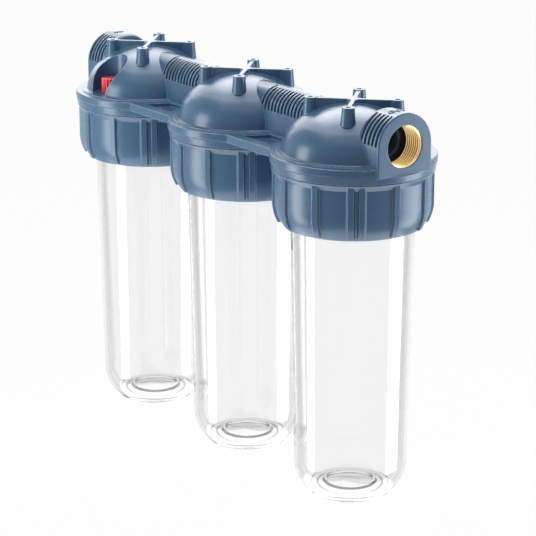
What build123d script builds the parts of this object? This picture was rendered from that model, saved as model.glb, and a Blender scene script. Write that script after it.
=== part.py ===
from build123d import *
import os
from math import asin, atan2, degrees, sqrt

# Three clear filter bowls hang in a row under one moulded head, each held by a ribbed lock ring.
# Z is up and the feet of the bowls stand at zero. X runs along the row, from inlet to outlet,
# and the middle bowl is on the Z axis. The front, with the vent pocket, faces -Y.

# Layout of the row
stage_pitch = 140.2
stages = (-stage_pitch, 0.0, stage_pitch)
stage_numbers = (1, 2, 3)
vented_stage = stages[0]
overrun = 1.0

# Bowls
sump_height = 229.0
sump_top_radius = 48.1
sump_wall = 3.9
sump_base_radius = 44.2
sump_corner_height = 27.0
sump_corner_radius = 33.0
sump_floor_height = 6.2
rim_radius = 54.5
rim_thickness = 5.0
rim_underside_round = 1.0
lip_height = 6.0
lip_lead_in = 0.8
foot_radius = 31.6
foot_inner_radius = 26.5
foot_recess = 3.2
foot_recess_draft = 0.8
sump_seat_radius = 21.6
sump_seat_width = 4.1
sump_seat_height = 2.3
sump_seat_chamfer = 0.8

# Bowl seals, each in a groove in the rim
seal_groove_radius = 50.2
seal_groove_width = 2.8
seal_groove_depth = 2.4
seal_side_gap = 0.1
seal_top_gap = 0.05
seal_round = 0.9

# Skirts of the head that the lock rings screw on
skirt_radius = 56.0
skirt_length = 32.3
rim_gap = 0.2
lip_gap = 0.6

# Flanges and the deck that joins them
flange_radius = 64.0
flange_height = 11.8
flange_edge_round = 1.0
lower_band_height = 6.1
lower_band_top_radius = 63.7
band_groove_depth = 1.0
band_groove_rise = 0.2
band_groove_fall = 0.6
lower_band_radius = 62.5
plinth_radius = 58.5
plinth_height = 0.8
web_half_width = 48.2
web_thickness = 6.5
recess_half_width = 39.4
recess_depth = 3.0
ledge_half_width = 20.3

# Domes
dome_radius = 54.5
dome_rise = 37.0
dome_shoulder_radius = 28.0
dome_wall = 5.3
dome_foot_round = 1.5

# Passages between the domes: an arch on drafted walls, with slots that keep the wall even
passage_axis_height = 17.5
passage_arch_radius = 16.5
passage_foot_half_width = 18.3
passage_slots = 13
slot_pitch = 4.3
slot_width = 2.6
slot_depth = 2.5
slot_foot_height = 17.0
passage_strip_angle = 15.0
passage_end_strip_angle = 2.0

# Port blocks
port_axis_height = 14.9
port_arch_radius = 25.2
port_reach = 62.0
port_length = 27.5
port_depth_below_deck = 6.7
port_face_round = 1.0
port_back_round = 5.5
port_slots = 5
port_slot_inset = 3.5
port_strip_angle = 22.6

# Threaded inserts and the gaskets behind them
insert_bore_radius = 15.15
insert_radius = 19.0
insert_length = 18.0
insert_chamfer = 1.3
insert_setback = 1.0
port_lip_radius = 16.0
port_lip_round = 0.6
gasket_thickness = 3.0
gasket_bore_radius = 13.6
gasket_step_radius = 14.6
gasket_step_depth = 1.2

# Water ways inside the head
duct_radius = 11.0
duct_wall = 3.5
duct_bend_radius = 17.0
duct_reach = 49.0
bore_end_from_axis = 28.0
cartridge_length = 250.0
spigot_disc_radius = 22.5
spigot_disc_thickness = 3.5
seat_ring_radius = 20.3
seat_ring_width = 2.6
seat_ring_height = 2.8
seat_ring_chamfer = 0.9

# Bracket bosses and the crossed arms between them
boss_offset = 23.35
boss_top_height = 40.55
boss_top_radius = 4.7
boss_foot_radius = 5.9
boss_root_depth = 14.0
pilot_radius = 2.0
pilot_depth = 10.0
arm_thickness = 3.0
arm_top_height = 40.1
arm_root_depth = 16.0
arm_corner_radius = 5.0

# Vent pocket in the first dome, its screw and the screw's seal
pocket_radius = 14.8
pocket_offset_x = 1.25
pocket_offset_y = 42.0
pocket_wall = 3.6
pocket_floor_thickness = 8.0
vent_knob_radius = 7.2
vent_knob_height = 12.6
vent_flutes = 24
vent_flute_radius = 0.55
vent_top_hole_radius = 1.0
vent_top_hole_depth = 6.0
vent_shank_radius = 3.9
vent_shank_length = 12.0
vent_shank_chamfer = 0.8
vent_bore_gap = 0.3
vent_lift_gap = 0.3
vent_seal_outer_radius = 6.2
vent_seal_height = 1.9
vent_seal_round = 0.6
vent_seal_side_gap = 0.1
vent_counterbore_depth = 1.8

# Lock rings
ring_top_gap = 0.3
ring_height = 44.2
ring_radius = 59.8
ring_collar_radius = 62.6
ring_collar_height = 4.9
ring_collar_edge = 0.4
ring_curl_height = 18.0
ring_curl_radius = 30.4
ring_thread_gap = 0.35
ring_step_gap = 0.6
ring_pocket_gap = 0.4
ring_ledge_gap = 0.2
ring_hole_gap = 1.1
rib_height = 1.9
rib_crest_width = 4.4
rib_base_width = 8.0
rib_root = 1.0
rib_foot_rise = 2.4
rib_first_angle = -35.3
rib_pair_half_angle = 4.0
rib_single_angles = (30.0, 60.0)
quarter_turn = 90.0

# The dome is an oval of two arcs, a tight one at its shoulder and a wide one over its crown
dome_crown_radius = (dome_radius**2 - 2 * dome_radius * dome_shoulder_radius + dome_rise**2) / (
    2 * (dome_rise - dome_shoulder_radius)
)
dome_shoulder_centre = dome_radius - dome_shoulder_radius
dome_blend_angle = degrees(atan2(dome_crown_radius - dome_rise, dome_shoulder_centre))
skirt_inner_radius = dome_radius - dome_wall

# Heights that follow from the sizes above
skirt_end_z = sump_height + rim_gap
flange_bottom_z = skirt_end_z + skirt_length
deck_z = flange_bottom_z + flange_height
band_top_z = flange_bottom_z + lower_band_height
plinth_z = deck_z + plinth_height
passage_axis_z = deck_z + passage_axis_height
port_axis_z = deck_z + port_axis_height
dome_crown_centre_z = deck_z + dome_rise - dome_crown_radius
slot_foot_z = deck_z + slot_foot_height
boss_top_z = deck_z + boss_top_height
arm_top_z = deck_z + arm_top_height
pocket_floor_z = plinth_z
sump_seat_z = sump_floor_height + sump_seat_height
head_seat_z = sump_seat_z + cartridge_length
spigot_z = head_seat_z + seat_ring_height
ring_top_z = flange_bottom_z - ring_top_gap
ring_bottom_z = ring_top_z - ring_height
ring_curl_z = ring_bottom_z + ring_curl_height
rim_underside_z = sump_height - rim_thickness
sump_inner_top_radius = sump_top_radius - sump_wall
sump_corner_centre = sump_base_radius - sump_corner_radius
pocket_x = vented_stage + pocket_offset_x
pocket_y = -pocket_offset_y
insert_back = port_reach - insert_setback - insert_length
gasket_back = insert_back - gasket_thickness
port_sides = ((-1, stages[0]), (1, stages[-1]))
port_axis = Axis((0, 0, port_axis_z), (1, 0, 0))


def stage_plane(x: float, turn: float = 0.0, y: float = 0.0) -> Plane:
    """The upright plane through the vertical axis at x and y, turned about that axis."""
    across = Vector(1, 0, 0).rotate(Axis.Z, turn)
    return Plane(origin=(x, y, 0), x_dir=across, z_dir=across.cross(Vector(0, 0, 1)))


def stage_axis(x: float) -> Axis:
    """The vertical axis of the stage at x."""
    return Axis((x, 0, 0), (0, 0, 1))


def cross_plane(x: float) -> Plane:
    """The plane square to the row at x: its own x is the row's Y and its own y is Z."""
    return Plane(origin=(x, 0, 0), x_dir=(0, 1, 0), z_dir=(1, 0, 0))


def slot_ring(height: float, radius: float, strip_angle: float) -> Sketch:
    """Both halves of one slot round an arch whose centre is at the given height."""
    with BuildSketch() as both_sides:
        lower = degrees(asin((slot_foot_z - height) / radius))
        right_side = (lower, 90 - strip_angle - lower)
        left_side = (180 - lower, lower + strip_angle - 90)
        for start, size in (right_side, left_side):
            with BuildLine():
                inner = CenterArc((0, height), radius - slot_depth, start, size)
                outer = CenterArc((0, height), radius + overrun, start, size)
                Line(inner @ 0, outer @ 0)
                Line(inner @ 1, outer @ 1)
            make_face()
    return both_sides.sketch


def port_plane(side: int, x: float) -> Plane:
    """The upright plane through the port axis at x, whose own x runs outwards."""
    return Plane(origin=(x, 0, port_axis_z), x_dir=(side, 0, 0), z_dir=(0, -side, 0))


def duct_bend(start_z: float, reach: float) -> None:
    """Draw a duct's centre line: up the stage's axis, round a bend, and out to the given reach."""
    bend_z = port_axis_z - duct_bend_radius
    Line((0, start_z), (0, bend_z))
    CenterArc((duct_bend_radius, bend_z), duct_bend_radius, 180, -90)
    Line((duct_bend_radius, port_axis_z), (reach, port_axis_z))


os.makedirs("parts", exist_ok=True)

# Head: one moulding for all three stages
with BuildPart() as head_manifold:
    # Finned passages, from dome to dome
    for x in stages[:-1]:
        with BuildSketch(cross_plane(x)):
            with BuildLine():
                crown = CenterArc((0, passage_axis_z), passage_arch_radius, 0, 180)
                Polyline(
                    crown @ 1,
                    (-passage_foot_half_width, deck_z),
                    (-passage_foot_half_width, deck_z - overrun),
                    (passage_foot_half_width, deck_z - overrun),
                    (passage_foot_half_width, deck_z),
                    crown @ 0,
                )
            make_face()
        extrude(amount=stage_pitch)
        for number in range(passage_slots):
            from_middle = (number - (passage_slots - 1) / 2) * slot_pitch
            at_end = number in (0, passage_slots - 1)
            strip = passage_end_strip_angle if at_end else passage_strip_angle
            slot_face = slot_ring(passage_axis_z, passage_arch_radius, strip)
            slot_x = x + stage_pitch / 2 + from_middle
            extrude(cross_plane(slot_x) * slot_face, amount=slot_width / 2, both=True, mode=Mode.SUBTRACT)

    # Finned port blocks at both ends of the row
    for side, x in port_sides:
        face_x = x + side * port_reach
        with BuildSketch(cross_plane(face_x)):
            with BuildLine():
                crown = CenterArc((0, port_axis_z), port_arch_radius, 0, 180)
                Polyline(
                    crown @ 1,
                    (-port_arch_radius, deck_z - port_depth_below_deck),
                    (port_arch_radius, deck_z - port_depth_below_deck),
                    crown @ 0,
                )
            make_face()
        extrude(amount=-side * port_length)
        ends = head_manifold.faces().filter_by(Axis.X)
        front = ends.sort_by(Axis.X)[0 if side < 0 else -1]
        fillet(front.edges(), port_face_round)
        back_x = face_x - side * port_length
        back = ends.filter_by_position(Axis.X, back_x - overrun, back_x + overrun)
        fillet(back.edges().sort_by(Axis.Z)[-1], port_back_round)
        for number in range(port_slots):
            slot_x = face_x - side * (port_slot_inset + number * slot_pitch)
            slot_face = slot_ring(port_axis_z, port_arch_radius, port_strip_angle)
            extrude(cross_plane(slot_x) * slot_face, amount=slot_width / 2, both=True, mode=Mode.SUBTRACT)

    # Domes, plinths, flanges and skirts
    for x in stages:
        foot_height = plinth_height + dome_foot_round
        foot_angle = degrees(asin(foot_height / dome_shoulder_radius))
        foot_dome_radius = dome_shoulder_centre + sqrt(dome_shoulder_radius**2 - foot_height**2)
        with BuildSketch(stage_plane(x)):
            with BuildLine():
                shoulder_angle = dome_blend_angle - foot_angle
                shoulder_centre = (dome_shoulder_centre, deck_z)
                CenterArc(shoulder_centre, dome_shoulder_radius, foot_angle, shoulder_angle)
                crown_centre = (0, dome_crown_centre_z)
                crown = CenterArc(crown_centre, dome_crown_radius, dome_blend_angle, 90 - dome_blend_angle)
                foot_centre = (foot_dome_radius + dome_foot_round, plinth_z + dome_foot_round)
                foot = CenterArc(foot_centre, dome_foot_round, 180, 90)
                edge_centre = (flange_radius - flange_edge_round, deck_z - flange_edge_round)
                edge = CenterArc(edge_centre, flange_edge_round, 0, 90)
                Polyline(foot @ 1, (plinth_radius, plinth_z), (plinth_radius, deck_z), edge @ 1)
                Polyline(
                    edge @ 0,
                    (flange_radius, band_top_z + band_groove_rise),
                    (flange_radius - band_groove_depth, band_top_z),
                    (lower_band_top_radius, band_top_z - band_groove_fall),
                    (lower_band_radius, flange_bottom_z),
                    (skirt_radius, flange_bottom_z),
                    (skirt_radius, skirt_end_z),
                    (0, skirt_end_z),
                    crown @ 1,
                )
            make_face()
        revolve(axis=stage_axis(x))
        # The port face trims the flange flush
        if x != stages[1]:
            side = -1 if x == stages[0] else 1
            with BuildSketch(Plane.XY.offset(deck_z - port_depth_below_deck)):
                with Locations((x + side * (port_reach + overrun + flange_edge_round), 0)):
                    Rectangle(2 * (overrun + flange_edge_round), 2 * port_arch_radius)
            extrude(amount=port_depth_below_deck + overrun, mode=Mode.SUBTRACT)

    # Webs between the flanges, each with a recess on both sides of the passage
    for x in stages[:-1]:
        with BuildSketch(Plane.XY.offset(deck_z)):
            with Locations((x + stage_pitch / 2, 0)):
                Rectangle(stage_pitch, 2 * web_half_width)
            with Locations((x, 0), (x + stage_pitch, 0)):
                Circle(skirt_radius, mode=Mode.SUBTRACT)
        extrude(amount=-web_thickness)
        with BuildSketch(Plane.XY.offset(deck_z)):
            with Locations((x + stage_pitch / 2, 0)):
                Rectangle(stage_pitch, 2 * recess_half_width)
                Rectangle(stage_pitch, 2 * ledge_half_width, mode=Mode.SUBTRACT)
            with Locations((x, 0), (x + stage_pitch, 0)):
                Circle(flange_radius, mode=Mode.SUBTRACT)
        extrude(amount=-recess_depth, mode=Mode.SUBTRACT)

    # Bracket bosses with a little draft
    for x in stages:
        with Locations((x, 0, boss_top_z)):
            with GridLocations(2 * boss_offset, 2 * boss_offset, 2, 2):
                standing = (Align.CENTER, Align.CENTER, Align.MAX)
                Cone(boss_foot_radius, boss_top_radius, boss_root_depth, align=standing)

    # Crossed arms from boss to boss, rounded where they meet
    for x in stages:
        with BuildSketch(Plane.XY.offset(arm_top_z)) as cross:
            with Locations((x, 0)):
                arm_length = 2 * sqrt(2) * boss_offset
                for angle in (45, 135):
                    Rectangle(arm_length, arm_thickness, rotation=angle)
            crossing = cross.vertices().sort_by_distance((x, 0, arm_top_z))[:4]
            fillet(crossing, arm_corner_radius)
        extrude(amount=-arm_root_depth)

    # Chambers inside the domes and skirts, whose wall bulges round the vent pocket
    for x in stages:
        with BuildPart(mode=Mode.PRIVATE) as chamber:
            with BuildSketch(stage_plane(x)):
                with BuildLine():
                    wall_radius = dome_shoulder_radius - dome_wall
                    wall = CenterArc((dome_shoulder_centre, deck_z), wall_radius, 0, dome_blend_angle)
                    ceiling_radius = dome_crown_radius - dome_wall
                    ceiling_angle = 90 - dome_blend_angle
                    ceiling_centre = (0, dome_crown_centre_z)
                    ceiling = CenterArc(ceiling_centre, ceiling_radius, dome_blend_angle, ceiling_angle)
                    Polyline(
                        ceiling @ 1,
                        (0, skirt_end_z - overrun),
                        (skirt_inner_radius, skirt_end_z - overrun),
                        wall @ 0,
                    )
                make_face()
            revolve(axis=stage_axis(x))
            if x == vented_stage:
                with BuildSketch(Plane.XY.offset(pocket_floor_z - pocket_floor_thickness)):
                    with Locations((pocket_x, pocket_y)):
                        Circle(pocket_radius + pocket_wall)
                extrude(amount=dome_rise, mode=Mode.SUBTRACT)
        add(chamber.part, mode=Mode.SUBTRACT)

    # Centre spigots with the cartridge seats, and the ducts that bend from them towards the outlet
    for x in stages:
        with BuildSketch(stage_plane(x)):
            with BuildLine():
                Polyline(
                    (0, spigot_z),
                    (seat_ring_radius - seat_ring_width, spigot_z),
                    (seat_ring_radius - seat_ring_width + seat_ring_chamfer, head_seat_z),
                    (seat_ring_radius - seat_ring_chamfer, head_seat_z),
                    (seat_ring_radius, spigot_z),
                    (spigot_disc_radius, spigot_z),
                    (spigot_disc_radius, spigot_z + spigot_disc_thickness),
                    (duct_radius + duct_wall / 2, spigot_z + 2 * spigot_disc_thickness),
                    (0, spigot_z + 2 * spigot_disc_thickness),
                    close=True,
                )
            make_face()
        revolve(axis=stage_axis(x))
        with BuildLine(stage_plane(x)):
            duct_bend(spigot_z + spigot_disc_thickness / 2, duct_reach)
        with BuildSketch(Plane.XY.offset(spigot_z + spigot_disc_thickness / 2)):
            with Locations((x, 0)):
                Circle(duct_radius + duct_wall)
        sweep()
    to_next_stage = stage_pitch - bore_end_from_axis
    for x, bore_reach in zip(stages, (to_next_stage, to_next_stage, gasket_back + overrun)):
        with BuildLine(stage_plane(x)):
            duct_bend(head_seat_z - overrun, bore_reach)
        with BuildSketch(Plane.XY.offset(head_seat_z - overrun)):
            with Locations((x, 0)):
                Circle(duct_radius)
        sweep(mode=Mode.SUBTRACT)
    with BuildSketch(cross_plane(stages[0] - gasket_back - overrun)):
        with Locations((0, port_axis_z)):
            Circle(duct_radius)
    extrude(amount=gasket_back + overrun - bore_end_from_axis, mode=Mode.SUBTRACT)

    # Pockets for the inserts, with a rounded lip that holds them in
    for side, x in port_sides:
        insert_front = insert_back + insert_length
        with BuildSketch(port_plane(side, x)):
            with BuildLine():
                mouth = CenterArc(
                    (port_reach - port_lip_round, port_lip_radius + port_lip_round), port_lip_round, 270, 90
                )
                Polyline(
                    mouth @ 0,
                    (insert_front, port_lip_radius),
                    (insert_front, insert_radius),
                    (gasket_back, insert_radius),
                    (gasket_back, 0),
                    (port_reach + overrun, 0),
                    (port_reach + overrun, port_lip_radius + port_lip_round),
                    mouth @ 1,
                )
            make_face()
        revolve(axis=port_axis, mode=Mode.SUBTRACT)

    # Vent pocket, open through the side of the dome, with the vent's bore in its floor
    with BuildSketch(Plane.XY.offset(pocket_floor_z)):
        with Locations((pocket_x, pocket_y)):
            Circle(pocket_radius)
    extrude(amount=dome_rise, mode=Mode.SUBTRACT)
    with Locations((pocket_x, pocket_y, pocket_floor_z)):
        CounterBoreHole(
            vent_shank_radius + vent_bore_gap,
            vent_seal_outer_radius + vent_seal_side_gap,
            vent_counterbore_depth,
            pocket_floor_thickness + overrun,
        )

    # Pilot holes for the bracket screws
    for x in stages:
        with Locations((x, 0, boss_top_z)):
            with GridLocations(2 * boss_offset, 2 * boss_offset, 2, 2):
                Hole(pilot_radius, pilot_depth)
head_manifold.part.label = "head_manifold"
export_step(head_manifold.part, "parts/head_manifold.step")

# Clear bowls, each with a sealing rim, a centring lip, a seat for the cartridge and a foot ring
for stage_number, x in zip(stage_numbers, stages):
    with BuildPart() as sump:
        inner_corner_radius = sump_corner_radius - sump_wall
        foot_edge_z = sump_corner_height - sqrt(
            sump_corner_radius**2 - (foot_radius - sump_corner_centre) ** 2
        )
        floor_reach = sqrt(inner_corner_radius**2 - (sump_corner_height - sump_floor_height) ** 2)
        lip_radius = skirt_inner_radius - lip_gap
        with BuildSketch(stage_plane(x)):
            with BuildLine():
                foot_angle = degrees(asin((sump_corner_height - foot_edge_z) / sump_corner_radius))
                corner_centre = (sump_corner_centre, sump_corner_height)
                corner = CenterArc(corner_centre, sump_corner_radius, -foot_angle, foot_angle)
                floor_angle = degrees(asin((sump_corner_height - sump_floor_height) / inner_corner_radius))
                inner_corner = CenterArc(corner_centre, inner_corner_radius, -floor_angle, floor_angle)
                Polyline(
                    corner @ 0,
                    (foot_radius, 0),
                    (foot_inner_radius, 0),
                    (foot_inner_radius - foot_recess_draft, foot_recess),
                    (0, foot_recess),
                    (0, sump_floor_height),
                    (sump_seat_radius - sump_seat_width, sump_floor_height),
                    (sump_seat_radius - sump_seat_width + sump_seat_chamfer, sump_seat_z),
                    (sump_seat_radius - sump_seat_chamfer, sump_seat_z),
                    (sump_seat_radius, sump_floor_height),
                    (sump_corner_centre + floor_reach, sump_floor_height),
                )
                Polyline(
                    inner_corner @ 1,
                    (sump_inner_top_radius, rim_underside_z),
                    (sump_inner_top_radius, sump_height + lip_height),
                    (lip_radius - lip_lead_in, sump_height + lip_height),
                    (lip_radius, sump_height + lip_height - lip_lead_in),
                    (lip_radius, sump_height),
                    (seal_groove_radius, sump_height),
                    (seal_groove_radius, sump_height - seal_groove_depth),
                    (seal_groove_radius + seal_groove_width, sump_height - seal_groove_depth),
                    (seal_groove_radius + seal_groove_width, sump_height),
                    (rim_radius, sump_height),
                    (rim_radius, rim_underside_z + rim_underside_round),
                    (rim_radius - rim_underside_round, rim_underside_z),
                    (sump_top_radius, rim_underside_z),
                    corner @ 1,
                )
            make_face()
        revolve(axis=stage_axis(x))
    sump.part.label = f"sump_{stage_number}"
    export_step(sump.part, f"parts/sump_{stage_number}.step")

    with BuildPart() as sump_seal:
        seal_height = seal_groove_depth + rim_gap - seal_top_gap
        with BuildSketch(stage_plane(x)) as seal_section:
            with Locations((seal_groove_radius + seal_groove_width / 2, sump_height - seal_groove_depth)):
                Rectangle(
                    seal_groove_width - 2 * seal_side_gap, seal_height, align=(Align.CENTER, Align.MIN)
                )
            fillet(seal_section.vertices(), seal_round)
        revolve(axis=stage_axis(x))
    sump_seal.part.label = f"sump_seal_{stage_number}"
    export_step(sump_seal.part, f"parts/sump_seal_{stage_number}.step")

# Lock rings: a threaded wall under a flared collar, a ledge under the bowl's rim, and grip ribs outside
for stage_number, x in zip(stage_numbers, stages):
    with BuildPart() as lock_ring:
        thread_radius = skirt_radius + ring_thread_gap
        pocket_wall_radius = rim_radius + ring_pocket_gap
        ledge_z = rim_underside_z - ring_ledge_gap
        hole_radius = sump_top_radius + ring_hole_gap
        curl_centre = (ring_radius - ring_curl_radius, ring_curl_z)
        curl_angle = degrees(asin(ring_curl_height / ring_curl_radius))
        with BuildSketch(stage_plane(x)):
            with BuildLine():
                curl = CenterArc(curl_centre, ring_curl_radius, -curl_angle, curl_angle)
                Polyline(
                    curl @ 1,
                    (ring_radius, ring_top_z - ring_collar_height),
                    (ring_collar_radius, ring_top_z - ring_collar_edge),
                    (ring_collar_radius - ring_collar_edge, ring_top_z),
                    (thread_radius, ring_top_z),
                    (thread_radius, skirt_end_z - ring_step_gap),
                    (pocket_wall_radius, skirt_end_z - ring_step_gap),
                    (pocket_wall_radius, ledge_z),
                    (hole_radius, ledge_z),
                    (hole_radius, ring_bottom_z),
                    curl @ 0,
                )
            make_face()
        revolve(axis=stage_axis(x))
        # One rib, wider at its root, runs out of the collar, down the wall and round the curl
        with BuildPart(mode=Mode.PRIVATE) as rib:
            crest = ring_radius + rib_height
            rib_top_z = ring_top_z - ring_collar_edge
            rib_foot_angle = degrees(asin((ring_curl_height - rib_foot_rise) / ring_curl_radius))
            with BuildLine(Plane.XZ):
                Line((ring_radius, rib_top_z), (ring_radius, ring_curl_z))
                CenterArc(curl_centre, ring_curl_radius, 0, -rib_foot_angle)
            with BuildSketch(Plane.XY.offset(rib_top_z)):
                with BuildLine():
                    Polyline(
                        (ring_radius - rib_root, -rib_base_width / 2),
                        (crest, -rib_crest_width / 2),
                        (crest, rib_crest_width / 2),
                        (ring_radius - rib_root, rib_base_width / 2),
                        close=True,
                    )
                make_face()
            sweep()
        # Each quarter has a close pair of ribs and two single ones
        for quarter in range(4):
            for place in (-rib_pair_half_angle, rib_pair_half_angle) + rib_single_angles:
                turn = rib_first_angle + quarter * quarter_turn + place
                with Locations(Location((x, 0, 0), (0, 0, turn))):
                    add(rib.part)
    lock_ring.part.label = f"lock_ring_{stage_number}"
    export_step(lock_ring.part, f"parts/lock_ring_{stage_number}.step")

# Brass inserts and the flat gaskets behind them
for name, (side, x) in zip(("inlet", "outlet"), port_sides):
    with BuildPart() as insert:
        insert_front = insert_back + insert_length
        with BuildSketch(port_plane(side, x)):
            with BuildLine():
                Polyline(
                    (insert_back, insert_bore_radius),
                    (insert_back, insert_radius),
                    (insert_front, insert_radius),
                    (insert_front, insert_bore_radius + insert_chamfer),
                    (insert_front - insert_chamfer, insert_bore_radius),
                    close=True,
                )
            make_face()
        revolve(axis=port_axis)
    insert.part.label = f"{name}_insert"
    export_step(insert.part, f"parts/{name}_insert.step")

    with BuildPart() as gasket:
        with BuildSketch(port_plane(side, x)):
            with BuildLine():
                Polyline(
                    (gasket_back, gasket_bore_radius),
                    (gasket_back, insert_radius),
                    (insert_back, insert_radius),
                    (insert_back, gasket_step_radius),
                    (insert_back - gasket_step_depth, gasket_step_radius),
                    (insert_back - gasket_step_depth, gasket_bore_radius),
                    close=True,
                )
            make_face()
        revolve(axis=port_axis)
    gasket.part.label = f"{name}_gasket"
    export_step(gasket.part, f"parts/{name}_gasket.step")

# Vent screw: a fluted knob on a shank that runs down through the pocket's floor
with BuildPart() as vent_screw:
    knob_z = pocket_floor_z + vent_lift_gap
    with BuildSketch(Plane.XY.offset(knob_z)):
        with Locations((pocket_x, pocket_y)):
            Circle(vent_knob_radius)
            with PolarLocations(vent_knob_radius, vent_flutes):
                Circle(vent_flute_radius, mode=Mode.SUBTRACT)
    extrude(amount=vent_knob_height)
    with BuildSketch(Plane.XY.offset(knob_z)):
        with Locations((pocket_x, pocket_y)):
            Circle(vent_shank_radius)
    extrude(amount=-vent_shank_length)
    chamfer(vent_screw.edges().filter_by(GeomType.CIRCLE).sort_by(Axis.Z)[0], vent_shank_chamfer)
    with Locations((pocket_x, pocket_y, knob_z + vent_knob_height)):
        Hole(vent_top_hole_radius, vent_top_hole_depth)
vent_screw.part.label = "vent_screw"
export_step(vent_screw.part, "parts/vent_screw.step")

with BuildPart() as vent_seal:
    seal_inner_radius = vent_shank_radius + vent_seal_side_gap
    with BuildSketch(stage_plane(pocket_x, y=pocket_y)) as vent_seal_section:
        with Locations((seal_inner_radius, pocket_floor_z - vent_counterbore_depth)):
            Rectangle(
                vent_seal_outer_radius - seal_inner_radius, vent_seal_height, align=(Align.MIN, Align.MIN)
            )
        fillet(vent_seal_section.vertices(), vent_seal_round)
    revolve(axis=Axis((pocket_x, pocket_y, 0), (0, 0, 1)))
vent_seal.part.label = "vent_seal"
export_step(vent_seal.part, "parts/vent_seal.step")
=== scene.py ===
"""Dresses the frame of a triple water filter housing for its picture.

Three clear bowls hang in a row under one moulded head, each held by a ribbed
lock ring. The head, the rings, the seals and the gaskets are the frame's own
solids in their finishes. The bowls, the threaded brass inserts, the fluted
vent screw and the raised port marks are modelled here, in the frame's metres.
"""

import logging
import math
from dataclasses import dataclass, field
from enum import Enum
from typing import Any

import bpy
from mathutils import Matrix, Vector


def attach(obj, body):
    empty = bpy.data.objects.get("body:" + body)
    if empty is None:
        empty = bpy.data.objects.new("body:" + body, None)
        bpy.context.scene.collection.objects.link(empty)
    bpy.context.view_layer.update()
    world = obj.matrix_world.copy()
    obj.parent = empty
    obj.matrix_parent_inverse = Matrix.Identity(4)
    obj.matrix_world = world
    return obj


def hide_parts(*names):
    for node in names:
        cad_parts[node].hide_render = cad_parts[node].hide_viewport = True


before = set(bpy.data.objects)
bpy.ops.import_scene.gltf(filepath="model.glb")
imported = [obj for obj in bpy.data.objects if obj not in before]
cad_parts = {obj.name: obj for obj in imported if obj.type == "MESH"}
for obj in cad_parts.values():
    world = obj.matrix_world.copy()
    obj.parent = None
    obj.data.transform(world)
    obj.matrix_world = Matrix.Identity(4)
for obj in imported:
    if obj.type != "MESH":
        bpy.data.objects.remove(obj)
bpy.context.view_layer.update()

log = logging.getLogger("filter_housing")
Profile = list[tuple[float, float]]
Colour = tuple[float, float, float, float]
Place = tuple[float, float, float]

MM = 0.001
# Points of a turned mesh that are nearer than this are one point.
WELD = 0.002 * MM
# A band texture of scale 1 repeats after this length.
BAND_PERIOD = 0.314


# Nodes and colours


def linear(code: str) -> Colour:
    """Turn an sRGB hex colour into linear light.

    Args:
        code: The colour as "#rrggbb".

    Returns:
        Red, green, blue and an alpha of one.
    """
    shares = [int(code[i : i + 2], 16) / 255 for i in (1, 3, 5)]
    red, green, blue = (
        c / 12.92 if c <= 0.04045 else ((c + 0.055) / 1.055) ** 2.4 for c in shares
    )
    return red, green, blue, 1.0


def add_node(
    tree: bpy.types.NodeTree,
    kind: str,
    settings: dict[str, Any] | None = None,
    inputs: dict[Any, Any] | None = None,
) -> bpy.types.Node:
    """Add one node with its settings and links.

    Args:
        tree: The node tree that takes the node.
        kind: The node's type name.
        settings: Properties of the node and their values.
        inputs: Sockets by name or number. An output socket is linked to them,
            and anything else is their plain value.

    Returns:
        The new node.
    """
    node = tree.nodes.new(kind)
    for name, value in (settings or {}).items():
        setattr(node, name, value)
    for socket, value in (inputs or {}).items():
        if isinstance(value, bpy.types.NodeSocket):
            tree.links.new(value, node.inputs[socket])
        else:
            node.inputs[socket].default_value = value
    return node


def empty_material(name: str) -> tuple[bpy.types.Material, bpy.types.NodeTree]:
    """Make a material with an empty node tree.

    Args:
        name: The material's name.

    Returns:
        The material and its tree.
    """
    material = bpy.data.materials.new(name)
    material.use_nodes = True
    material.node_tree.nodes.clear()
    return material, material.node_tree


def seen_rays(tree: bpy.types.NodeTree) -> bpy.types.NodeSocket:
    """Give 1 for rays that show a background: from the eye, off gloss, through clear plastic.

    Args:
        tree: The tree that takes the nodes.

    Returns:
        The output socket of the mask.
    """
    path = add_node(tree, "ShaderNodeLightPath").outputs
    largest = {"operation": "MAXIMUM"}
    first = add_node(
        tree, "ShaderNodeMath", largest, {0: path["Is Camera Ray"], 1: path["Is Glossy Ray"]}
    )
    both = {0: first.outputs[0], 1: path["Is Transmission Ray"]}
    return add_node(tree, "ShaderNodeMath", largest, both).outputs[0]


# Finishes


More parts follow.
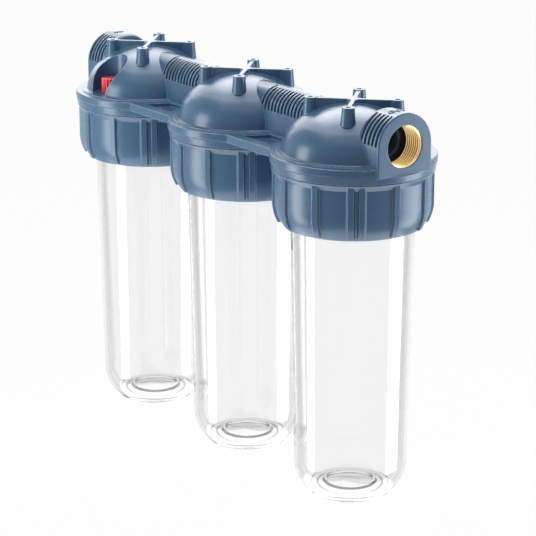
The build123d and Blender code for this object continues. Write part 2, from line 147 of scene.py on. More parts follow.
@dataclass(frozen=True)
class MouldedPolypropylene:
    """Filled polypropylene, injection moulded: slate blue and satin, with the tool's faint skin."""

    name: str = "polypropylene, moulded slate blue"
    body: str = "#456A8A"
    deep: str = "#406382"
    flow_mm: float = 38.0
    # The pale colour, strength and reach of the painted edge highlights, which stand in for light
    # caught along edges.
    painted_highlight: str = "#B4CAD8"
    painted_highlight_share: float = 0.45
    painted_highlight_reach_mm: float = 1.3
    painted_highlight_starts: float = 0.985
    painted_highlight_full: float = 0.86
    edge_round_mm: float = 0.55
    edge_samples: int = 8
    grain_mm: float = 0.9
    grain_depth_mm: float = 0.04
    grain_strength: float = 0.012
    smoothest: float = 0.25
    roughest: float = 0.29
    ior: float = 1.5
    gloss: float = 0.32

    def paint_edge_highlights(
        self, tree: bpy.types.NodeTree, colour: bpy.types.NodeSocket
    ) -> bpy.types.NodeSocket:
        """Paint a highlight into the colour where the surface turns an edge, convex or concave, a
        painted line of light along every edge.

        Args:
            tree: The tree that takes the nodes.
            colour: The colour of the flat skin.

        Returns:
            The output socket of the colour with pale edges.
        """
        # The flat and the rounded normal part company at an edge, and their match falls below 1.
        plain = add_node(tree, "ShaderNodeNewGeometry").outputs["True Normal"]
        rounded = add_node(
            tree,
            "ShaderNodeBevel",
            {"samples": self.edge_samples},
            {"Radius": self.painted_highlight_reach_mm * MM},
        )
        match = add_node(
            tree,
            "ShaderNodeVectorMath",
            {"operation": "DOT_PRODUCT"},
            {0: plain, 1: rounded.outputs[0]},
        )
        painted_highlight_factor = add_node(
            tree,
            "ShaderNodeMapRange",
            inputs={
                "Value": match.outputs["Value"],
                "From Min": self.painted_highlight_starts,
                "From Max": self.painted_highlight_full,
                "To Max": self.painted_highlight_share,
            },
        )
        # Painted highlight: the colour is mixed towards the pale colour along every edge.
        highlighted_colour = add_node(
            tree,
            "ShaderNodeMix",
            {"data_type": "RGBA"},
            {"Factor": painted_highlight_factor.outputs["Result"], "A": colour, "B": linear(self.painted_highlight)},
        )
        return highlighted_colour.outputs["Result"]

    def build(self) -> bpy.types.Material:
        """Build the material."""
        material, tree = empty_material(self.name)
        place = add_node(tree, "ShaderNodeTexCoord").outputs["Object"]
        # Resin cools unevenly as it fills the tool, which leaves slow clouds a little deeper.
        cloud = add_node(
            tree,
            "ShaderNodeTexNoise",
            inputs={"Vector": place, "Scale": 1 / (self.flow_mm * MM), "Detail": 2.0},
        )
        colour = add_node(
            tree,
            "ShaderNodeMix",
            {"data_type": "RGBA"},
            {"Factor": cloud.outputs["Fac"], "A": linear(self.body), "B": linear(self.deep)},
        )
        # The satin of the tool's steel: its grains are far finer than a pixel, and are drawn at
        # 0.9 mm so that they show.
        grain = add_node(
            tree,
            "ShaderNodeTexNoise",
            inputs={"Vector": place, "Scale": 1 / (self.grain_mm * MM), "Detail": 3.0},
        )
        shine = add_node(
            tree,
            "ShaderNodeMapRange",
            inputs={
                "Value": grain.outputs["Fac"],
                "To Min": self.smoothest,
                "To Max": self.roughest,
            },
        )
        # Every moulded edge is broken by the tool's small radius, which catches a line of light.
        edge = add_node(
            tree,
            "ShaderNodeBevel",
            {"samples": self.edge_samples},
            {"Radius": self.edge_round_mm * MM},
        )
        skin = add_node(
            tree,
            "ShaderNodeBump",
            inputs={
                "Height": grain.outputs["Fac"],
                "Strength": self.grain_strength,
                "Distance": self.grain_depth_mm * MM,
                "Normal": edge.outputs["Normal"],
            },
        )
        # The base colour carries the painted edge highlights.
        shader = add_node(
            tree,
            "ShaderNodeBsdfPrincipled",
            inputs={
                "Base Color": self.paint_edge_highlights(tree, colour.outputs["Result"]),
                "Roughness": shine.outputs["Result"],
                "IOR": self.ior,
                "Specular IOR Level": self.gloss,
                "Normal": skin.outputs["Normal"],
            },
        )
        add_node(tree, "ShaderNodeOutputMaterial", inputs={"Surface": shader.outputs[0]})
        return material


@dataclass(frozen=True)
class ClearCopolymer:
    """Styrene acrylonitrile, injection moulded: clear and glossy, a little grey in a long path."""

    name: str = "styrene acrylonitrile, moulded clear"
    tint: str = "#FCFCFC"
    # The painted grey line and the slants where it stands in for refracted shade.
    painted_edge_grey: str = "#D2D3D3"
    painted_grey_band: tuple[float, float, float, float] = (0.49, 0.57, 0.66, 0.74)
    depth_tint: str = "#D9D9D9"
    depth_density: float = 24.0
    lamp_tint: str = "#F4F6F7"
    streak_mm: float = 26.0
    streak_squeeze: float = 0.08
    streak_depth_mm: float = 0.3
    streak_strength: float = 0.02
    ior: float = 1.57

    def paint_edge_grey_line(self, tree: bpy.types.NodeTree) -> bpy.types.NodeSocket:
        """Give the tint with a painted grey line. It is grey in a narrow band of slants, where a
        real wall would bend the darker sides of a room.

        Args:
            tree: The tree that takes the nodes.

        Returns:
            The output socket of the tint.
        """
        slant = add_node(tree, "ShaderNodeLayerWeight", inputs={"Blend": 0.5})
        line = add_node(tree, "ShaderNodeValToRGB", inputs={"Fac": slant.outputs["Facing"]})
        # The band's places run from 0, where the wall faces the eye, to 1, where it is edge on.
        start, grey_from, grey_to, end = self.painted_grey_band
        clear_before, clear_after = line.color_ramp.elements
        clear_before.position, clear_after.position = start, end
        clear_before.color = clear_after.color = linear(self.tint)
        for position in (grey_from, grey_to):
            line.color_ramp.elements.new(position).color = linear(self.painted_edge_grey)
        return line.outputs["Color"]

    def build(self) -> bpy.types.Material:
        """Build the material."""
        material, tree = empty_material(self.name)
        place = add_node(tree, "ShaderNodeTexCoord").outputs["Object"]
        # The tool's long core is drawn out upwards and leaves faint upright waves in the wall.
        drawn = add_node(
            tree,
            "ShaderNodeMapping",
            inputs={"Vector": place, "Scale": (1.0, 1.0, self.streak_squeeze)},
        )
        wave = add_node(
            tree,
            "ShaderNodeTexNoise",
            inputs={
                "Vector": drawn.outputs[0],
                "Scale": 1 / (self.streak_mm * MM),
                "Detail": 1.0,
            },
        )
        skin = add_node(
            tree,
            "ShaderNodeBump",
            inputs={
                "Height": wave.outputs["Fac"],
                "Strength": self.streak_strength,
                "Distance": self.streak_depth_mm * MM,
            },
        )
        # A clear wall bends the darker sides of a room into a thin grey line inside its outline,
        # and here that line is painted shade in the base colour, by slant.
        plastic = add_node(
            tree,
            "ShaderNodeBsdfPrincipled",
            inputs={
                "Base Color": self.paint_edge_grey_line(tree),
                "Roughness": 0.0,
                "IOR": self.ior,
                "Transmission Weight": 1.0,
                "Normal": skin.outputs["Normal"],
            },
        )
        # Lamps reach what stands behind the wall, as they do through real clear plastic.
        open_to_lamps = add_node(
            tree, "ShaderNodeBsdfTransparent", inputs={"Color": linear(self.lamp_tint)}
        )
        path = add_node(tree, "ShaderNodeLightPath")
        surface = add_node(
            tree,
            "ShaderNodeMixShader",
            inputs={
                0: path.outputs["Is Shadow Ray"],
                1: plastic.outputs[0],
                2: open_to_lamps.outputs[0],
            },
        )
        # Where the eye looks along the wall, its faint body colour adds up to a soft grey.
        depth = add_node(
            tree,
            "ShaderNodeVolumeAbsorption",
            inputs={"Color": linear(self.depth_tint), "Density": self.depth_density},
        )
        add_node(
            tree,
            "ShaderNodeOutputMaterial",
            inputs={"Surface": surface.outputs[0], "Volume": depth.outputs[0]},
        )
        return material


@dataclass(frozen=True)
class TurnedBrass:
    """Free-cutting brass, turned and threaded: warm bright gold with fine rings from the tool."""

    name: str = "brass, turned"
    metal: str = "#F8DA9C"
    dull: str = "#EBC078"
    stain_mm: float = 5.0
    feed_mm: float = 0.35
    feed_depth_mm: float = 0.02
    feed_strength: float = 0.1
    smoothest: float = 0.20
    roughest: float = 0.30

    def build(self) -> bpy.types.Material:
        """Build the material."""
        material, tree = empty_material(self.name)
        place = add_node(tree, "ShaderNodeTexCoord").outputs["Object"]
        # Handling dulls the bright metal in soft patches, which are a little browner.
        stain = add_node(
            tree,
            "ShaderNodeTexNoise",
            inputs={"Vector": place, "Scale": 1 / (self.stain_mm * MM), "Detail": 3.0},
        )
        colour = add_node(
            tree,
            "ShaderNodeMix",
            {"data_type": "RGBA"},
            {"Factor": stain.outputs["Fac"], "A": linear(self.metal), "B": linear(self.dull)},
        )
        # The feed of the lathe's tool leaves rings square to the port's axis.
        rings = add_node(
            tree,
            "ShaderNodeTexWave",
            {"wave_type": "BANDS", "bands_direction": "X", "wave_profile": "SIN"},
            {
                "Vector": place,
                "Scale": BAND_PERIOD / (self.feed_mm * MM),
                "Distortion": 0.4,
                "Detail": 1.0,
            },
        )
        skin = add_node(
            tree,
            "ShaderNodeBump",
            inputs={
                "Height": rings.outputs["Fac"],
                "Strength": self.feed_strength,
                "Distance": self.feed_depth_mm * MM,
            },
        )
        shine = add_node(
            tree,
            "ShaderNodeMapRange",
            inputs={
                "Value": stain.outputs["Fac"],
                "To Min": self.smoothest,
                "To Max": self.roughest,
            },
        )
        shader = add_node(
            tree,
            "ShaderNodeBsdfPrincipled",
            inputs={
                "Base Color": colour.outputs["Result"],
                "Metallic": 1.0,
                "Roughness": shine.outputs["Result"],
                "Normal": skin.outputs["Normal"],
            },
        )
        add_node(tree, "ShaderNodeOutputMaterial", inputs={"Surface": shader.outputs[0]})
        return material


@dataclass(frozen=True)
class NitrileRubber:
    """Nitrile rubber, moulded: black and matt, with a little dust bloom."""

    name: str = "nitrile rubber, moulded black"
    body: str = "#17181A"
    bloom: str = "#222427"
    grain_mm: float = 0.6
    grain_depth_mm: float = 0.05
    grain_strength: float = 0.2
    roughness: float = 0.55
    ior: float = 1.52

    def build(self) -> bpy.types.Material:
        """Build the material."""
        material, tree = empty_material(self.name)
        place = add_node(tree, "ShaderNodeTexCoord").outputs["Object"]
        # Filler and bloom give the black a fine grey grain, so that it never shines.
        grain = add_node(
            tree,
            "ShaderNodeTexNoise",
            inputs={"Vector": place, "Scale": 1 / (self.grain_mm * MM), "Detail": 4.0},
        )
        colour = add_node(
            tree,
            "ShaderNodeMix",
            {"data_type": "RGBA"},
            {"Factor": grain.outputs["Fac"], "A": linear(self.body), "B": linear(self.bloom)},
        )
        skin = add_node(
            tree,
            "ShaderNodeBump",
            inputs={
                "Height": grain.outputs["Fac"],
                "Strength": self.grain_strength,
                "Distance": self.grain_depth_mm * MM,
            },
        )
        shader = add_node(
            tree,
            "ShaderNodeBsdfPrincipled",
            inputs={
                "Base Color": colour.outputs["Result"],
                "Roughness": self.roughness,
                "IOR": self.ior,
                "Normal": skin.outputs["Normal"],
            },
        )
        add_node(tree, "ShaderNodeOutputMaterial", inputs={"Surface": shader.outputs[0]})
        return material


@dataclass(frozen=True)
class RedAcetal:
    """Acetal, moulded: a clean signal red with a soft gloss."""

    name: str = "acetal, moulded red"
    body: str = "#FA3A49"
    deep: str = "#EC2C3B"
    flow_mm: float = 6.0
    edge_round_mm: float = 0.3
    edge_samples: int = 6
    roughness: float = 0.25
    ior: float = 1.48

    def build(self) -> bpy.types.Material:
        """Build the material."""
        material, tree = empty_material(self.name)
        place = add_node(tree, "ShaderNodeTexCoord").outputs["Object"]
        # The colour isn't quite even, as the pigment follows the flow of the resin.
        cloud = add_node(
            tree,
            "ShaderNodeTexNoise",
            inputs={"Vector": place, "Scale": 1 / (self.flow_mm * MM), "Detail": 2.0},
        )
        colour = add_node(
            tree,
            "ShaderNodeMix",
            {"data_type": "RGBA"},
            {"Factor": cloud.outputs["Fac"], "A": linear(self.body), "B": linear(self.deep)},
        )
        # Small edges are broken by the tool's radius, which catches a thin line of light.
        edge = add_node(
            tree,
            "ShaderNodeBevel",
            {"samples": self.edge_samples},
            {"Radius": self.edge_round_mm * MM},
        )
        shader = add_node(
            tree,
            "ShaderNodeBsdfPrincipled",
            inputs={
                "Base Color": colour.outputs["Result"],
                "Roughness": self.roughness,
                "IOR": self.ior,
                "Normal": edge.outputs["Normal"],
            },
        )
        add_node(tree, "ShaderNodeOutputMaterial", inputs={"Surface": shader.outputs[0]})
        return material


@dataclass(frozen=True)
class PaperSweep:
    """Background paper, matt white: it shows as white and keeps a faint shadow."""

    name: str = "background paper, matt white"
    paper: str = "#F7F7F7"
    shadow_share: float = 0.04

    def build(self) -> bpy.types.Material:
        """Build the material."""
        material, tree = empty_material(self.name)
        matt = add_node(tree, "ShaderNodeBsdfDiffuse", inputs={"Color": linear(self.paper)})
        white = {"Color": linear("#FFFFFF"), "Strength": 1.0}
        glow = add_node(tree, "ShaderNodeEmission", inputs=white)
        share = add_node(
            tree,
            "ShaderNodeMath",
            {"operation": "MULTIPLY"},
            {0: seen_rays(tree), 1: 1 - self.shadow_share},
        )
        surface = add_node(
            tree,
            "ShaderNodeMixShader",
            inputs={0: share.outputs[0], 1: matt.outputs[0], 2: glow.outputs[0]},
        )
        add_node(tree, "ShaderNodeOutputMaterial", inputs={"Surface": surface.outputs[0]})
        return material


# Modelling


class Axis(Enum):
    """The direction that a turned piece's axis has in the frame."""

    UP = (0.0, 0.0, 1.0)
    ALONG = (1.0, 0.0, 0.0)


def deselect_all() -> None:
    """Leave nothing selected and nothing active."""
    bpy.ops.object.select_all(action="DESELECT")
    bpy.context.view_layer.objects.active = None


def activate(piece: bpy.types.Object) -> None:
    """Select one object alone and make it active."""
    deselect_all()
    piece.select_set(True)
    bpy.context.view_layer.objects.active = piece


def open_mesh(piece: bpy.types.Object) -> None:
    """Open one object in edit mode with all of its mesh selected."""
    activate(piece)
    bpy.ops.object.mode_set(mode="EDIT")
    bpy.ops.mesh.select_all(action="SELECT")


def close_mesh() -> None:
    """Turn all faces outwards and leave edit mode."""
    bpy.ops.mesh.select_all(action="SELECT")
    bpy.ops.mesh.normals_make_consistent(inside=False)
    bpy.ops.object.mode_set(mode="OBJECT")


def apply_modifier(piece: bpy.types.Object, kind: str, settings: dict[str, Any]) -> None:
    """Give a piece a modifier and apply it.

    Args:
        piece: The piece that is changed.
        kind: The modifier's type.
        settings: The modifier's properties and their values.
    """
    activate(piece)
    modifier = piece.modifiers.new(kind.title(), kind)
    for name, value in settings.items():
        setattr(modifier, name, value)
    bpy.ops.object.modifier_apply(modifier=modifier.name)


def break_edges(piece: bpy.types.Object, width: float, segments: int, angle: float) -> None:
    """Round the edges that turn by more than an angle.

    Args:
        piece: The piece that is changed.
        width: How wide the rounding is, in millimetres.
        segments: Faces across the rounding.
        angle: The angle in degrees.
    """
    settings = {
        "width": width * MM,
        "segments": segments,
        "limit_method": "ANGLE",
        "angle_limit": math.radians(angle),
    }
    apply_modifier(piece, "BEVEL", settings)


def combine(piece: bpy.types.Object, tool: bpy.types.Object, operation: str) -> None:
    """Join a piece with a helper solid or cut it, and remove the helper.

    Args:
        piece: The piece that is changed.
        tool: The helper solid.
        operation: "UNION" or "DIFFERENCE".
    """
    settings = {"object": tool, "operation": operation, "solver": "EXACT"}
    apply_modifier(piece, "BOOLEAN", settings)
    bpy.data.objects.remove(tool)


def draw_wire(name: str, points: list[Vector]) -> bpy.types.Object:
    """Draw a closed line of edges by extruding one vertex from point to point.

    Args:
        name: The piece's name.
        points: The points in metres, in the frame.

    Returns:
        The new object, with its origin at zero.
    """
    deselect_all()
    bpy.ops.mesh.primitive_plane_add(size=MM, location=(0, 0, 0))
    piece = bpy.context.object
    piece.name = piece.data.name = name
    bpy.ops.object.mode_set(mode="EDIT")
    bpy.ops.mesh.select_all(action="SELECT")
    bpy.ops.mesh.merge(type="CENTER")
    bpy.ops.transform.translate(value=points[0])
    for start, end in zip(points, points[1:]):
        bpy.ops.mesh.extrude_region_move(TRANSFORM_OT_translate={"value": end - start})
    bpy.ops.mesh.select_all(action="DESELECT")
    bpy.ops.object.mode_set(mode="OBJECT")
    for end in (0, len(points) - 1):
        piece.data.vertices[end].select = True
    bpy.ops.object.mode_set(mode="EDIT")
    bpy.ops.mesh.edge_face_add()
    bpy.ops.object.mode_set(mode="OBJECT")
    return piece


def turn_profile(
    name: str, profile: Profile, axis: Axis, centre: Vector, steps: int, side: int = 1
) -> bpy.types.Object:
    """Turn a closed profile round an axis, as on a lathe.

    Args:
        name: The piece's name.
        profile: Radius and reach along the axis, in millimetres.
        axis: The axis' direction.
        centre: The point that the reach counts from, in metres.
        steps: Faces round the axis.
        side: 1 or -1, the way in which the reach counts.

    Returns:
        The turned piece with its normals outwards.
    """
    along = Vector(axis.value)
    radial = Vector((0, 0, 1)) if axis is Axis.ALONG else Vector((1, 0, 0))
    points = [centre + (radial * radius + along * side * reach) * MM for radius, reach in profile]
    piece = draw_wire(name, points)
    open_mesh(piece)
    bpy.ops.mesh.spin(
        steps=steps, angle=math.tau, center=centre, axis=along, use_auto_merge=True
    )
    bpy.ops.mesh.select_all(action="SELECT")
    bpy.ops.mesh.remove_doubles(threshold=WELD)
    close_mesh()
    return piece


def arc(
    centre: tuple[float, float], radius: float, start: float, end: float, steps: int
) -> Profile:
    """Give the points of an arc in a profile.

    Args:
        centre: Radius and reach of the arc's centre.
        radius: The arc's radius.
        start: First angle in degrees, from the radial direction.
        end: Last angle in degrees.
        steps: How many spans the arc has.

    Returns:
        The arc's points, both ends among them.
    """
    angles = [math.radians(start + (end - start) * i / steps) for i in range(steps + 1)]
    return [(centre[0] + radius * math.cos(a), centre[1] + radius * math.sin(a)) for a in angles]


def smooth(piece: bpy.types.Object, angle: float) -> None:
    """Shade a piece smooth across edges flatter than an angle in degrees."""
    activate(piece)
    bpy.ops.object.shade_smooth_by_angle(angle=math.radians(angle))


def dress(piece: bpy.types.Object, material: bpy.types.Material) -> None:
    """Give a piece one material in all its slots.

    Args:
        piece: A new piece or a node of the frame.
        material: The finish.
    """
    if not piece.data.materials:
        piece.data.materials.append(material)
    for slot in piece.material_slots:
        slot.material = material


def report(piece: bpy.types.Object) -> None:
    """Log a finished piece and how many faces it has."""
    log.info("%s: %d faces", piece.name, len(piece.data.polygons))


def copy_to(piece: bpy.types.Object, name: str, shift: Vector) -> bpy.types.Object:
    """Copy a piece with its own mesh and move the copy's mesh.

    Args:
        piece: The piece to copy.
        name: The copy's name.
        shift: How far the copy's mesh moves, in metres.

    Returns:
        The copy, with its origin at zero.
    """
    twin = piece.copy()
    twin.data = piece.data.copy()
    twin.name = twin.data.name = name
    twin.data.transform(Matrix.Translation(shift))
    bpy.context.collection.objects.link(twin)
    return twin


# The housing's pieces, with their sizes in millimetres


@dataclass
class Row:
    """Where the stages and ports of the row are."""

    stage_pitch: float = 140.2
    port_reach: float = 62.0
    port_axis_z: float = 288.2

    def stage_x(self, number: int) -> float:
        """Give the X of stage 1, 2 or 3, in metres."""
        return (number - 2) * self.stage_pitch * MM

    def port_face(self, side: int) -> Vector:
        """Give the middle of the port's face at one end, in metres."""
        return Vector((side * (self.stage_pitch + self.port_reach), 0.0, self.port_axis_z)) * MM


@dataclass
class Bowls:
    """The three clear bowls, each a deep cup with a rim, a lip, a seat and a foot ring."""

    row: Row
    finish: bpy.types.Material
    height: float = 229.0
    top_radius: float = 48.1
    wall: float = 3.9
    base_radius: float = 44.2
    corner_height: float = 27.0
    corner_radius: float = 33.0
    corner_steps: int = 16
    floor_height: float = 6.2
    rim_radius: float = 54.5
    rim_thickness: float = 5.0
    lip_height: float = 6.0
    lip_radius: float = 48.6
    groove_radius: float = 50.2
    groove_width: float = 2.8
    groove_depth: float = 2.4
    foot_radius: float = 31.6
    foot_inner_radius: float = 26.5
    foot_recess: float = 3.2
    seat_radius: float = 21.6
    seat_width: float = 4.1
    seat_height: float = 2.3
    draft: float = 0.8
    edge_break: float = 0.6
    turn_steps: int = 144

    def profile(self) -> Profile:
        """Give a bowl's closed section, from the foot up the outside and down the inside."""
        centre = (self.base_radius - self.corner_radius, self.corner_height)
        inner_radius = self.corner_radius - self.wall
        foot_angle = -math.degrees(math.acos((self.foot_radius - centre[0]) / self.corner_radius))
        floor_drop = self.corner_height - self.floor_height
        floor_angle = -math.degrees(math.asin(floor_drop / inner_radius))
        inner_top = self.top_radius - self.wall
        underside = self.height - self.rim_thickness
        groove_floor = self.height - self.groove_depth
        groove_outer = self.groove_radius + self.groove_width
        lip_top = self.height + self.lip_height
        seat_top = self.floor_height + self.seat_height
        seat_inner = self.seat_radius - self.seat_width
        return [
            (0.0, self.foot_recess),
            (self.foot_inner_radius - self.draft, self.foot_recess),
            (self.foot_inner_radius, 0.0),
            (self.foot_radius, 0.0),
            *arc(centre, self.corner_radius, foot_angle, 0.0, self.corner_steps),
            (self.top_radius, underside),
            (self.rim_radius, underside),
            (self.rim_radius, self.height),
            (groove_outer, self.height),
            (groove_outer, groove_floor),
            (self.groove_radius, groove_floor),
            (self.groove_radius, self.height),
            (self.lip_radius, self.height),
            (self.lip_radius, lip_top),
            (inner_top, lip_top),
            (inner_top, underside),
            *arc(centre, inner_radius, 0.0, floor_angle, self.corner_steps),
            (self.seat_radius, self.floor_height),
            (self.seat_radius - self.draft, seat_top),
            (seat_inner + self.draft, seat_top),
            (seat_inner, self.floor_height),
            (0.0, self.floor_height),
        ]

    def build(self) -> None:
        """Turn one bowl, break its edges and copy it to every stage."""
        foot = Vector((self.row.stage_x(1), 0, 0))
        first = turn_profile("bowl_1", self.profile(), Axis.UP, foot, self.turn_steps)
        break_edges(first, self.edge_break, segments=3, angle=28.0)
        smooth(first, 35.0)
        dress(first, self.finish)
        step = Vector((self.row.stage_pitch * MM, 0, 0))
        bowls = [first, copy_to(first, "bowl_2", step), copy_to(first, "bowl_3", 2 * step)]
        for number, bowl in enumerate(bowls, start=1):
            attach(bowl, f"bowl_{number}")
            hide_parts(f"sump_{number}")
            report(bowl)


@dataclass
class PortInserts:
    """The two brass inserts with their pipe threads."""

    row: Row
    finish: bpy.types.Material
    bore_radius: float = 15.15
    root_radius: float = 16.6
    outer_radius: float = 19.0
    length: float = 18.0
    setback: float = 1.0
    chamfer: float = 1.3
    turn_steps: int = 96
    thread_pitch: float = 2.309
    root_flat: float = 0.25
    crest_flat: float = 0.35
    thread_steps: int = 56
    thread_weld: float = 0.001
    cutter_overlap: float = 0.8
    cutter_flare: float = 0.3

    def cutter_section(self) -> Profile:
        """Give the groove's section, with a flared part that reaches into the empty bore."""
        half_root = self.root_flat / 2
        half_mouth = (self.thread_pitch - self.crest_flat) / 2
        inner_radius = self.bore_radius - self.cutter_overlap
        return [
            (inner_radius, -half_mouth - self.cutter_flare),
            (self.bore_radius, -half_mouth),
            (self.root_radius, -half_root),
            (self.root_radius, half_root),
            (self.bore_radius, half_mouth),
            (inner_radius, half_mouth + self.cutter_flare),
        ]

    def cutter(self, front: Vector, side: int) -> bpy.types.Object:
        """Sweep the groove's section along a helix, from one turn outside the face.

        Args:
            front: The middle of the insert's outer face.
            side: -1 for the inlet, 1 for the outlet.

        Returns:
            A closed helical bar that the bore is cut with.
        """
        points = [
            front + Vector((side * (self.thread_pitch + reach), 0, radius)) * MM
            for radius, reach in self.cutter_section()
        ]
        bar = draw_wire("thread_cutter", points)
        open_mesh(bar)
        bpy.ops.mesh.edge_face_add()
        bpy.ops.object.mode_set(mode="OBJECT")
        pivot = bpy.data.objects.new("thread_axis", None)
        pivot.location = (0, 0, front.z)
        bpy.context.collection.objects.link(pivot)
        bpy.context.view_layer.update()
        helix = {
            "object": pivot,
            "axis": "X",
            "angle": math.tau,
            "screw_offset": -side * self.thread_pitch * MM,
            "iterations": math.ceil(self.length / self.thread_pitch) + 1,
            "steps": self.thread_steps,
            "render_steps": self.thread_steps,
            "use_merge_vertices": True,
            "merge_threshold": self.thread_weld * MM,
        }
        apply_modifier(bar, "SCREW", helix)
        bpy.data.objects.remove(pivot)
        open_mesh(bar)
        bpy.ops.mesh.select_all(action="DESELECT")
        bpy.ops.mesh.select_non_manifold()
        bpy.ops.mesh.edge_face_add()
        close_mesh()
        return bar

    def build_one(self, name: str, side: int) -> None:
        """Turn one insert and cut its thread.

        Args:
            name: "inlet" or "outlet".
            side: -1 for the inlet, 1 for the outlet.
        """
        front = self.row.port_face(side) - Vector((side * self.setback * MM, 0, 0))
        profile = [
            (self.bore_radius, -self.length),
            (self.outer_radius, -self.length),
            (self.outer_radius, 0.0),
            (self.bore_radius + self.chamfer, 0.0),
            (self.bore_radius, -self.chamfer),
        ]
        sleeve = turn_profile(
            f"{name}_threaded_insert", profile, Axis.ALONG, front, self.turn_steps, side
        )
        combine(sleeve, self.cutter(front, side), "DIFFERENCE")
        smooth(sleeve, 30.0)
        dress(sleeve, self.finish)
        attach(sleeve, "head")
        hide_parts(f"{name}_insert")
        report(sleeve)

    def build(self) -> None:
        """Build both inserts."""
        for name, side in (("inlet", -1), ("outlet", 1)):
            self.build_one(name, side)


@dataclass
class PortMarks:
    """Raised words on the arches over the ports, which tell the inlet from the outlet."""

    row: Row
    finish: bpy.types.Material
    arch_radius: float = 25.2
    letter_height: float = 5.0
    size_per_height: float = 1.4
    boldness: float = 0.1
    curve_steps: int = 6
    weld: float = 0.01
    relief: float = 0.5
    sunk: float = 0.5
    from_face: float = 10.5

    def write(self, word: str) -> bpy.types.Object:
        """Write a word and make it a solid that stands upright on the XZ plane.

        Args:
            word: The word.

        Returns:
            The word's solid, not yet bent or in its place.
        """
        deselect_all()
        bpy.ops.object.text_add(location=(0, 0, 0))
        text = bpy.context.object.data
        text.body = word
        text.align_x, text.align_y = "CENTER", "CENTER"
        text.size = self.size_per_height * self.letter_height * MM
        text.offset = self.boldness * MM
        text.resolution_u = self.curve_steps
        bpy.ops.object.convert(target="MESH")
        mark = bpy.context.object
        mark.name = mark.data.name = f"{word.lower()}_mark"
        thickness = (self.relief + self.sunk) * MM
        open_mesh(mark)
        bpy.ops.mesh.remove_doubles(threshold=self.weld * MM)
        bpy.ops.mesh.extrude_region_move(TRANSFORM_OT_translate={"value": (0, 0, thickness)})
        bpy.ops.mesh.select_all(action="SELECT")
        bpy.ops.mesh.quads_convert_to_tris()
        bpy.ops.transform.rotate(
            value=math.radians(-90), orient_axis="X", center_override=(0, 0, 0)
        )
        close_mesh()
        return mark

    def build_one(self, word: str, side: int) -> None:
        """Bend one word round the arch and sink its back into the block.

        Args:
            word: The word to raise.
            side: -1 for the inlet, 1 for the outlet.
        """
        mark = self.write(word)
        inner_radius = (self.arch_radius - self.sunk) * MM
        bend = {
            "deform_method": "BEND",
            "deform_axis": "Z",
            "angle": mark.dimensions.x / inner_radius,
        }
        apply_modifier(mark, "SIMPLE_DEFORM", bend)
        reach = Vector((-side * self.from_face * MM, 0, inner_radius))
        turn = Matrix(((0, 0, -side), (side, 0, 0), (0, -1, 0))).to_4x4()
        mark.matrix_world = Matrix.Translation(self.row.port_face(side) + reach) @ turn
        activate(mark)
        bpy.ops.object.transform_apply(location=True, rotation=True, scale=True)
        dress(mark, self.finish)
        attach(mark, "head")
        report(mark)

    def build(self) -> None:
        """Raise both words."""
        self.build_one("IN", -1)
        self.build_one("OUT", 1)


@dataclass
class VentScrew:
    """The red vent screw: a fluted knob with a small hole in its top, on a plain shank."""

    finish: bpy.types.Material
    axis_x: float = -138.95
    axis_y: float = -42.0
    knob_foot_z: float = 274.4
    knob_radius: float = 7.2
    knob_height: float = 12.6
    flutes: int = 16
    flute_depth: float = 0.9
    flute_sharpness: int = 4
    points_per_flute: int = 12
    shank_radius: float = 3.9
    shank_length: float = 12.0
    shank_chamfer: float = 0.8
    hole_radius: float = 1.0
    hole_depth: float = 6.0
    overlap: float = 1.0
    edge_break: float = 0.35
    turn_steps: int = 64

    def outline(self) -> list[Vector]:
        """Give the knob's fluted outline at its foot, in metres."""
        count = self.flutes * self.points_per_flute
        points = []
        for angle in (math.tau * step / count for step in range(count)):
            hollow = math.cos(self.flutes * angle / 2) ** self.flute_sharpness
            radius = self.knob_radius - self.flute_depth * hollow
            x = self.axis_x + radius * math.cos(angle)
            y = self.axis_y + radius * math.sin(angle)
            points.append(Vector((x, y, self.knob_foot_z)) * MM)
        return points

    def painted_highlight_factor(self, name: str, profile: Profile) -> bpy.types.Object:
        """Turn a helper solid round the screw's axis, with its reach from the knob's foot."""
        foot = Vector((self.axis_x, self.axis_y, self.knob_foot_z)) * MM
        return turn_profile(name, profile, Axis.UP, foot, self.turn_steps)

    def build(self) -> None:
        """Draw the knob, break its edges, join the shank and bore the hole."""
        screw = draw_wire("fluted_vent_screw", self.outline())
        rise = (0, 0, self.knob_height * MM)
        open_mesh(screw)
        bpy.ops.mesh.edge_face_add()
        bpy.ops.mesh.extrude_region_move(TRANSFORM_OT_translate={"value": rise})
        close_mesh()
        break_edges(screw, self.edge_break, segments=2, angle=60.0)
        tip = -self.shank_length
        shank = [
            (0.0, tip),
            (self.shank_radius - self.shank_chamfer, tip),
            (self.shank_radius, tip + self.shank_chamfer),
            (self.shank_radius, self.overlap),
            (0.0, self.overlap),
        ]
        combine(screw, self.painted_highlight_factor("shank", shank), "UNION")
        floor, mouth = self.knob_height - self.hole_depth, self.knob_height + self.overlap
        hole = [(0.0, floor), (self.hole_radius, floor), (self.hole_radius, mouth), (0.0, mouth)]
        combine(screw, self.painted_highlight_factor("hole", hole), "DIFFERENCE")
        smooth(screw, 40.0)
        dress(screw, self.finish)
        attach(screw, "vent")
        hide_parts("vent_screw")
        report(screw)


@dataclass
class FrameSolids:
    """The solids of the frame that stay as they are and take a finish."""

    finishes: dict[str, bpy.types.Material]

    def build(self) -> None:
        """Give every node whose name starts with a key that key's finish."""
        for start, material in self.finishes.items():
            for name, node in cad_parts.items():
                if name.startswith(start):
                    dress(node, material)
                    log.info("%s: %s", name, material.name)


# Studio, in metres


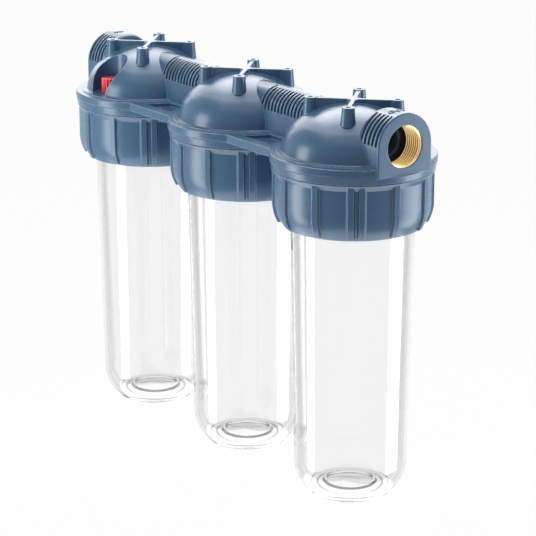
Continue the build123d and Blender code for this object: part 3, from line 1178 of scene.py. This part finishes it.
@dataclass
class SoftBox:
    """One soft lamp: where it stands, what it faces, how large and how bright its face is."""

    name: str
    place: Place
    target: Place
    size: tuple[float, float]
    brightness: float
    only_gloss: bool = False

    def watts(self) -> float:
        """Give the power that makes the lamp's face as bright as it should be."""
        return self.brightness * math.pi * self.size[0] * self.size[1]

    def build(self) -> None:
        """Add the lamp, which shows in gloss and, unless it is only for gloss, lights colours."""
        data = bpy.data.lights.new(self.name, "AREA")
        data.shape = "RECTANGLE"
        data.size, data.size_y = self.size
        data.energy = self.watts()
        lamp = bpy.data.objects.new(self.name, data)
        lamp.location = self.place
        away = Vector(self.target) - lamp.location
        lamp.rotation_euler = away.to_track_quat("-Z", "Y").to_euler()
        lamp.visible_camera = False
        lamp.visible_transmission = False
        lamp.visible_diffuse = not self.only_gloss
        bpy.context.collection.objects.link(lamp)
        log.info("lamp %s: %.1f W", lamp.name, self.watts())


@dataclass
class Studio:
    """The camera at the photograph's angle, the white sweep and the soft lamps."""

    camera_place: Place = (1.4878, -1.0471, 0.6857)
    azimuth: float = 54.32
    elevation: float = 16.50
    focal_pixels: float = 2317.0
    frame_pixels: int = 536
    sensor_mm: float = 36.0
    nearest: float = 0.05
    farthest: float = 50.0
    ambient: float = 0.17
    floor_size: float = 14.0
    lamps: list[SoftBox] = field(default_factory=list)

    def basis(self) -> tuple[Vector, Vector, Vector]:
        """Give the camera's right, up and back directions."""
        a, e = math.radians(self.azimuth), math.radians(self.elevation)
        back = Vector((math.sin(a) * math.cos(e), -math.cos(a) * math.cos(e), math.sin(e)))
        right = Vector((math.cos(a), math.sin(a), 0.0))
        return right, back.cross(right), back

    def add_camera(self) -> None:
        """Stand the camera where the photograph was taken from."""
        data = bpy.data.cameras.new("camera")
        data.sensor_width = self.sensor_mm
        data.lens = self.focal_pixels / self.frame_pixels * self.sensor_mm
        data.clip_start, data.clip_end = self.nearest, self.farthest
        camera = bpy.data.objects.new("camera", data)
        turn = Matrix(self.basis()).transposed().to_4x4()
        camera.matrix_world = Matrix.Translation(self.camera_place) @ turn
        bpy.context.collection.objects.link(camera)
        bpy.context.scene.camera = camera

    def add_world(self) -> None:
        """Light the scene from all round and show white where nothing stands."""
        world = bpy.data.worlds.new("studio")
        world.use_nodes = True
        tree = world.node_tree
        tree.nodes.clear()
        room, white = (
            add_node(
                tree,
                "ShaderNodeBackground",
                inputs={"Color": linear("#FFFFFF"), "Strength": strength},
            )
            for strength in (self.ambient, 1.0)
        )
        surface = add_node(
            tree,
            "ShaderNodeMixShader",
            inputs={0: seen_rays(tree), 1: room.outputs[0], 2: white.outputs[0]},
        )
        add_node(tree, "ShaderNodeOutputWorld", inputs={"Surface": surface.outputs[0]})
        bpy.context.scene.world = world

    def add_floor(self) -> None:
        """Lay a wide pale sheet under the feet, which gloss and clear walls don't see."""
        deselect_all()
        bpy.ops.mesh.primitive_plane_add(size=self.floor_size, location=(0, 0, 0))
        floor = bpy.context.object
        floor.name = floor.data.name = "floor"
        dress(floor, PaperSweep().build())
        floor.visible_glossy = floor.visible_transmission = floor.visible_shadow = False

    def build(self) -> None:
        """Set up the camera, the world, the floor and the lamps."""
        bpy.context.scene.view_settings.view_transform = "Standard"
        self.add_camera()
        self.add_world()
        self.add_floor()
        for lamp in self.lamps:
            lamp.build()


def studio_lamps() -> list[SoftBox]:
    """Give the lamps: three that light everything and six sheens that only gloss shows."""
    middle = (0.0, 0.0, 0.27)
    low = (0.0, 0.0, 0.13)
    narrow, broad = (0.27, 0.88), (0.42, 0.88)
    lit = [
        SoftBox("overhead", (0.15, -0.25, 1.9), (0.0, 0.0, 0.25), (1.8, 1.8), 1.5),
        SoftBox("left_strip", (-0.294, -0.65, 0.13), low, narrow, 5.8),
        SoftBox("right_strip", (0.519, 0.551, 0.13), low, broad, 4.5),
    ]
    sheens = [
        SoftBox("left_sheen", (-0.298, -0.66, 0.13), low, narrow, 4.0, True),
        SoftBox("right_sheen", (0.526, 0.559, 0.13), low, broad, 2.6, True),
        SoftBox("top_sheen", (-0.66, 0.47, 1.34), middle, (1.0, 0.7), 7.5, True),
        SoftBox("wide_sheen", (-0.42, 0.30, 1.45), middle, (1.5, 1.35), 3.0, True),
        SoftBox("back_sheen", (-1.2, 0.86, 0.85), middle, (2.4, 1.1), 2.4, True),
        SoftBox("under_sheen", (0.0, 0.0, -0.7), middle, (1.7, 1.7), 3.4, True),
    ]
    return lit + sheens


def main() -> None:
    """Build the studio and every sub-assembly."""
    logging.basicConfig(level=logging.INFO, format="%(name)s: %(message)s")
    row = Row()
    shell = MouldedPolypropylene().build()
    rubber = NitrileRubber().build()
    Studio(lamps=studio_lamps()).build()
    FrameSolids(
        {
            "head_manifold": shell,
            "lock_ring": shell,
            "sump_seal": rubber,
            "inlet_gasket": rubber,
            "outlet_gasket": rubber,
            "vent_seal": rubber,
        }
    ).build()
    Bowls(row, ClearCopolymer().build()).build()
    PortInserts(row, TurnedBrass().build()).build()
    PortMarks(row, shell).build()
    VentScrew(RedAcetal().build()).build()


if __name__ == "__main__":
    main()
